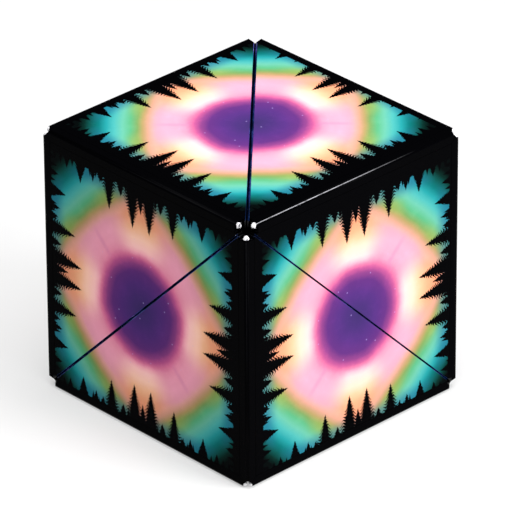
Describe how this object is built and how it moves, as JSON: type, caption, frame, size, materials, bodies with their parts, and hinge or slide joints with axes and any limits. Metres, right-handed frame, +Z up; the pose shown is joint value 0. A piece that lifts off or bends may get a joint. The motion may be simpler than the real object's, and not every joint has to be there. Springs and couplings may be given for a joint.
{
  "type": "magnetic folding cube",
  "caption": "Magnetic desk sculpture: a cube of hollow wedges in one closed ring, joined by film hinges at the cube's edges and held shut by disc magnets.",
  "frame": {"origin": "centre of the bottom face, on the surface that the cube stands on", "axes": "+Z up, out of the top face; +X and +Y are the outward normals of the right and back faces. Three diagonal seams meet at the top corner at +X and -Y, and three at the opposite corner"},
  "size_m": [0.057, 0.057, 0.057],
  "materials": {
    "black_abs": "moulded, fine grain",
    "lid_abs": "moulded, smooth",
    "nickel_magnet": "nickel plated",
    "printed_film": "printed and laminated, semi-gloss",
    "hinge_film": "laminated film fold, gloss"
  },
  "bodies": {
    "wedge_01": {"wedge_01_shell": "black_abs", "wedge_01_lid": "lid_abs", "wedge_01_seam_magnet": "nickel_magnet", "wedge_01_wrap": "printed_film", "hinge_film_12": "hinge_film"},
    "wedge_02": {"wedge_02_shell": "black_abs", "wedge_02_lid": "lid_abs", "wedge_02_seam_magnet": "nickel_magnet", "wedge_02_wrap": "printed_film", "hinge_film_01": "hinge_film"},
    "wedge_03": {"wedge_03_shell": "black_abs", "wedge_03_lid": "lid_abs", "wedge_03_seam_magnet": "nickel_magnet", "wedge_03_wrap": "printed_film", "hinge_film_02": "hinge_film"},
    "wedge_04": {"wedge_04_shell": "black_abs", "wedge_04_lid": "lid_abs", "wedge_04_seam_magnet": "nickel_magnet", "wedge_04_wrap": "printed_film", "hinge_film_03": "hinge_film"},
    "wedge_05": {"wedge_05_shell": "black_abs", "wedge_05_lid": "lid_abs", "wedge_05_seam_magnet": "nickel_magnet", "wedge_05_wrap": "printed_film", "hinge_film_04": "hinge_film"},
    "wedge_06": {"wedge_06_shell": "black_abs", "wedge_06_lid": "lid_abs", "wedge_06_seam_magnet": "nickel_magnet", "wedge_06_wrap": "printed_film", "hinge_film_05": "hinge_film"},
    "wedge_07": {"wedge_07_shell": "black_abs", "wedge_07_lid": "lid_abs", "wedge_07_seam_magnet": "nickel_magnet", "wedge_07_wrap": "printed_film", "hinge_film_06": "hinge_film", "hinge_film_07": "hinge_film"},
    "wedge_08": {"wedge_08_shell": "black_abs", "wedge_08_lid": "lid_abs", "wedge_08_seam_magnet": "nickel_magnet", "wedge_08_wrap": "printed_film", "hinge_film_08": "hinge_film"},
    "wedge_09": {"wedge_09_shell": "black_abs", "wedge_09_lid": "lid_abs", "wedge_09_seam_magnet": "nickel_magnet", "wedge_09_wrap": "printed_film", "hinge_film_09": "hinge_film"},
    "wedge_10": {"wedge_10_shell": "black_abs", "wedge_10_lid": "lid_abs", "wedge_10_seam_magnet": "nickel_magnet", "wedge_10_wrap": "printed_film", "hinge_film_10": "hinge_film"},
    "wedge_11": {"wedge_11_shell": "black_abs", "wedge_11_lid": "lid_abs", "wedge_11_seam_magnet": "nickel_magnet", "wedge_11_wrap": "printed_film", "hinge_film_11": "hinge_film"},
    "wedge_12": {"wedge_12_shell": "black_abs", "wedge_12_lid": "lid_abs", "wedge_12_seam_magnet": "nickel_magnet", "wedge_12_wrap": "printed_film"}
  },
  "joints": [
    {"name": "hinge_07", "type": "hinge", "parent": "wedge_07", "child": "wedge_08", "pos_m": [0, 0.0282, 0.0003], "axis": [-1, 0, 0], "range_deg": [0, 8.8]},
    {"name": "hinge_08", "type": "hinge", "parent": "wedge_08", "child": "wedge_09", "pos_m": [0.0282, 0.0282, 0.0285], "axis": [0, 0, 1], "range_deg": [0, 10.5]},
    {"name": "hinge_09", "type": "hinge", "parent": "wedge_09", "child": "wedge_10", "pos_m": [0.0282, 0, 0.0567], "axis": [0, 1, 0], "range_deg": [0, 8.8]},
    {"name": "hinge_10", "type": "hinge", "parent": "wedge_10", "child": "wedge_11", "pos_m": [0, 0.0282, 0.0567], "axis": [1, 0, 0], "range_deg": [0, 9.1]},
    {"name": "hinge_06", "type": "hinge", "parent": "wedge_07", "child": "wedge_06", "pos_m": [0.0282, 0, 0.0003], "axis": [0, 1, 0], "range_deg": [0, 10.6]},
    {"name": "hinge_05", "type": "hinge", "parent": "wedge_06", "child": "wedge_05", "pos_m": [0.0282, -0.0282, 0.0285], "axis": [0, 0, 1], "range_deg": [0, 10]},
    {"name": "hinge_04", "type": "hinge", "parent": "wedge_05", "child": "wedge_04", "pos_m": [0, -0.0282, 0.0003], "axis": [-1, 0, 0], "range_deg": [0, 10.1]},
    {"name": "hinge_03", "type": "hinge", "parent": "wedge_04", "child": "wedge_03", "pos_m": [-0.0282, 0, 0.0003], "axis": [0, -1, 0], "range_deg": [0, 9.4]},
    {"name": "hinge_02", "type": "hinge", "parent": "wedge_03", "child": "wedge_02", "pos_m": [-0.0282, -0.0282, 0.0285], "axis": [0, 0, -1], "range_deg": [0, 10.5]},
    {"name": "hinge_01", "type": "hinge", "parent": "wedge_02", "child": "wedge_01", "pos_m": [0, -0.0282, 0.0567], "axis": [1, 0, 0], "range_deg": [0, 8.3]},
    {"name": "hinge_12", "type": "hinge", "parent": "wedge_01", "child": "wedge_12", "pos_m": [-0.0282, 0, 0.0567], "axis": [0, 1, 0], "range_deg": [0, 9.5]}
  ],
  "couplings": [
    {"joint": "hinge_07", "follows": "hinge_05", "ratio": 0.88},
    {"joint": "hinge_08", "follows": "hinge_05", "ratio": 1.05},
    {"joint": "hinge_09", "follows": "hinge_05", "ratio": 0.88},
    {"joint": "hinge_10", "follows": "hinge_05", "ratio": 0.91},
    {"joint": "hinge_06", "follows": "hinge_05", "ratio": 1.06},
    {"joint": "hinge_04", "follows": "hinge_05", "ratio": 1.01},
    {"joint": "hinge_03", "follows": "hinge_05", "ratio": 0.94},
    {"joint": "hinge_02", "follows": "hinge_05", "ratio": 1.05},
    {"joint": "hinge_01", "follows": "hinge_05", "ratio": 0.83},
    {"joint": "hinge_12", "follows": "hinge_05", "ratio": 0.95}
  ]
}
